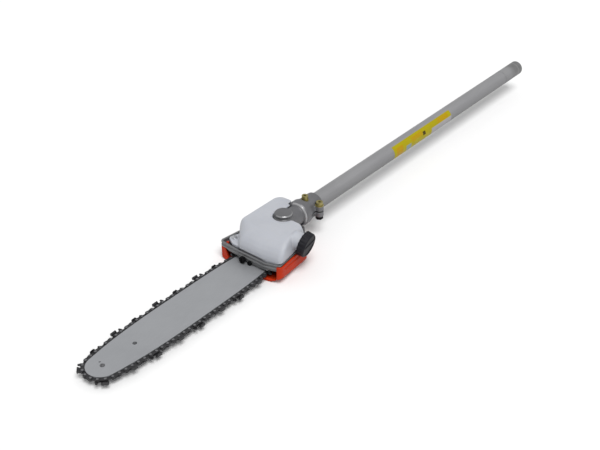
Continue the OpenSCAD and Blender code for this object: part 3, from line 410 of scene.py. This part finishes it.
drawnGrain = (0.03, 1, 1)               # long along the bar and the pole
metals = {
    "pole_aluminium": {
        "name": "poleAluminium", "dark": (0.215, 0.215, 0.222), "light": (0.25, 0.25, 0.257),
        "metal": 0.3, "rough": 0.46, "grain": drawnGrain, "grainScale": 1500, "grainDepth": 0.00001,
        "patchScale": 9, "scratch": 0.3,
        "paintedShadeBands": [(716, 741, 0.125, 16), (726.5, 728, 0.2, 1)],    # painted shade over the pole's end and along a groove: from, to, tone, width of the soft edge
        "paintedUndersideShade": (22, 42, 0.48),    # painted shade on the pole's underside: from, to, how much of the tone is left
    },
    "bar_steel": {
        "name": "barSteel", "dark": (0.29, 0.298, 0.313), "light": (0.325, 0.333, 0.348),
        "metal": 0.5, "rough": 0.46, "grain": drawnGrain, "grainScale": 1900, "grainDepth": 0.00001,
        "patchScale": 14, "scratch": 0.22, "coat": 0.15,
    },
    "chain_steel": {
        "name": "chainSteel", "dark": (0.018, 0.018, 0.02), "light": (0.045, 0.045, 0.048),
        "metal": 0.6, "rough": 0.36, "grainScale": 700, "grainDepth": 0.00004, "patchScale": 160, "scratch": 0.3,
    },
    "rivet_steel": {
        "name": "rivetSteel", "dark": (0.09, 0.09, 0.095), "light": (0.24, 0.24, 0.25),
        "metal": 0.8, "rough": 0.36, "grainScale": 800, "grainDepth": 0.00002, "patchScale": 300,
    },
    "gear_steel": {
        "name": "gearSteel", "dark": (0.3, 0.3, 0.31), "light": (0.42, 0.42, 0.43),
        "metal": 0.95, "rough": 0.32, "grainScale": 900, "grainDepth": 0.00002, "patchScale": 90,
    },
    "bearing_steel": {
        "name": "bearingSteel", "dark": (0.5, 0.5, 0.52), "light": (0.62, 0.62, 0.64),
        "metal": 1.0, "rough": 0.18, "grainScale": 900, "grainDepth": 0.00001, "patchScale": 90,
    },
    "zinc_yellow": {
        "name": "zincYellow", "dark": (0.20, 0.17, 0.055), "light": (0.30, 0.26, 0.10),
        "metal": 0.7, "rough": 0.38, "grainScale": 700, "grainDepth": 0.00002, "patchScale": 140,
    },
    "zinc_bright": {
        "name": "zincBright", "dark": (0.42, 0.43, 0.45), "light": (0.58, 0.59, 0.61),
        "metal": 0.9, "rough": 0.3, "grainScale": 700, "grainDepth": 0.00002, "patchScale": 140,
    },
    "shaft_steel": {
        "name": "shaftSteel", "dark": (0.36, 0.36, 0.37), "light": (0.48, 0.48, 0.49),
        "metal": 0.95, "rough": 0.3, "grain": drawnGrain, "grainScale": 1400, "grainDepth": 0.00001,
        "patchScale": 30,
    },
}

finishes = {slot: skinFinish(**values) for slot, values in skins.items()}
finishes.update({slot: metalFinish(**values) for slot, values in metals.items()})
finishes["tank_plastic"] = tankFinish()
finishes["label_yellow"] = labelFinish()
slotOf = {part["node"]: part["material_slot"] for part in frame["record"]["subparts"]}


def dress(piece, slot):
    piece.data.materials.clear()
    piece.data.materials.append(finishes[slot])


for name, node in nodes.items():
    dress(node, slotOf[name])
print("stage: finishes")


# ---- castings and mouldings, rounded as the real ones leave the die

rounding = {                            # size of the skin's faces in metres, and how often it is smoothed
    "oil_tank": {"grain": 0.0009, "passes": 22, "piece": "tankShell"},
    "gear_case": {"grain": 0.0006, "passes": 5, "piece": "gearCaseCasting"},
    "base_plate": {"grain": 0.00058, "passes": 2, "piece": "plateCasting"},
    "sprocket_cover": {"grain": 0.0007, "passes": 4, "piece": "coverMoulding"},
    "oil_cap": {"grain": 0.0005, "passes": 3, "piece": "capMoulding"},
}


def bodyOf(name):
    return nodes[name]["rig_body"]


def softened(name, grain, passes, piece):
    copy = nodes[name].copy()
    copy.data = nodes[name].data.copy()
    copy.parent = None
    copy.name = copy.data.name = piece
    for key in list(copy.keys()):
        del copy[key]
    scene.collection.objects.link(copy)
    shape = bmesh.new()
    shape.from_mesh(copy.data)
    bmesh.ops.remove_doubles(shape, verts=shape.verts, dist=1e-6)
    shape.to_mesh(copy.data)
    shape.free()
    remesh = copy.modifiers.new("skin", "REMESH")
    remesh.mode, remesh.voxel_size = "VOXEL", grain
    smooth = copy.modifiers.new("soften", "SMOOTH")
    smooth.factor, smooth.iterations = 0.5, passes
    depsgraph = bpy.context.evaluated_depsgraph_get()
    mesh = bpy.data.meshes.new_from_object(copy.evaluated_get(depsgraph))
    copy.modifiers.clear()
    copy.data = mesh
    mesh.name = piece
    low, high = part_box(name)
    for vertex in mesh.vertices:
        vertex.co = [min(max(c, a), b) for c, a, b in zip(vertex.co, low, high)]
    mesh.polygons.foreach_set("use_smooth", [True] * len(mesh.polygons))
    dress(copy, slotOf[name])
    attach(copy, bodyOf(name))
    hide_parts(name)
    print("stage:", piece, len(mesh.polygons), "faces")


for name, how in rounding.items():
    softened(name, **how)


# ---- web in the far corner of the cover's mouth, moulded between its wall and its floor

cornerWeb = {
    "from": -24.7, "to": -22.5,         # along the bar, in head measures
    "outline": [(51.2, 9.5), (51.2, -8.6), (47.2, -10.6), (37.8, -10.6), (38.6, -8.6), (41.0, -6.2), (42.8, -2.0),
                (44.6, 3.0), (46.4, 9.5)],      # across and up
    "edge": 0.5,
}


def makeCornerWeb():
    shape = bmesh.new()
    corners = [shape.verts.new(at(cornerWeb["from"], y, z)) for y, z in cornerWeb["outline"]]
    face = shape.faces.new(corners)
    thick = (cornerWeb["to"] - cornerWeb["from"]) * 0.001
    grown = bmesh.ops.extrude_face_region(shape, geom=[face])["geom"]
    moved = [item for item in grown if isinstance(item, bmesh.types.BMVert)]
    bmesh.ops.translate(shape, vec=(thick, 0, 0), verts=moved)
    bmesh.ops.recalc_face_normals(shape, faces=shape.faces)
    bmesh.ops.bevel(shape, geom=shape.edges[:], offset=cornerWeb["edge"] * 0.001, segments=3, affect="EDGES")
    mesh = bpy.data.meshes.new("coverCornerWeb")
    shape.to_mesh(mesh)
    shape.free()
    web = bpy.data.objects.new("coverCornerWeb", mesh)
    scene.collection.objects.link(web)
    dress(web, "orange_plastic")
    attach(web, bodyOf("sprocket_cover"))


makeCornerWeb()
print("stage: cover web")


# ---- floor

def layFloor():
    height = cadBox[0][2] - studio["floorGap"]
    bpy.ops.mesh.primitive_plane_add(size=studio["floorSize"], location=(studio["floorMiddle"], 0, height))
    floor = bpy.context.object
    floor.name = "floor"
    mat, tree, shader = startMaterial("paleFloor")
    tone = blendColours(tree, noiseOn(tree, objectPoints(tree), 1.5), studio["floorTone"],
                        tuple(c * 0.99 for c in studio["floorTone"]))
    tree.links.new(tone, shader.inputs["Base Color"])
    shader.inputs["Roughness"].default_value = 0.9
    floor.data.materials.append(mat)


layFloor()
print("stage: floor")
